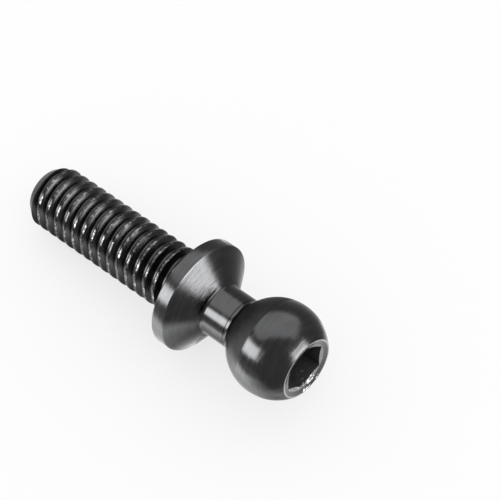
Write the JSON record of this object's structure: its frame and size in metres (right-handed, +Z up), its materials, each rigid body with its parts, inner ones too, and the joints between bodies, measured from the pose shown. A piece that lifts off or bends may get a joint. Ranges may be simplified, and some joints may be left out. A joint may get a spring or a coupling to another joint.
{
  "type": "threaded ball stud",
  "caption": "Blackened steel ball stud: a ball with a hex socket on a neck and coned flange, over a threaded shank that screws into an arm.",
  "frame": {"origin": "on the floor under the middle of the stud as it lies", "axes": "+X from the threaded tip towards the ball along the floor, +Z up; the stud's own axis rises 7.4 degrees towards the ball"},
  "size_m": [0.0202, 0.0066, 0.0069],
  "materials": {
    "black_steel": "black oxide on turned steel, satin"
  },
  "bodies": {
    "root": {"ball_stud": "black_steel"}
  },
  "joints": []
}
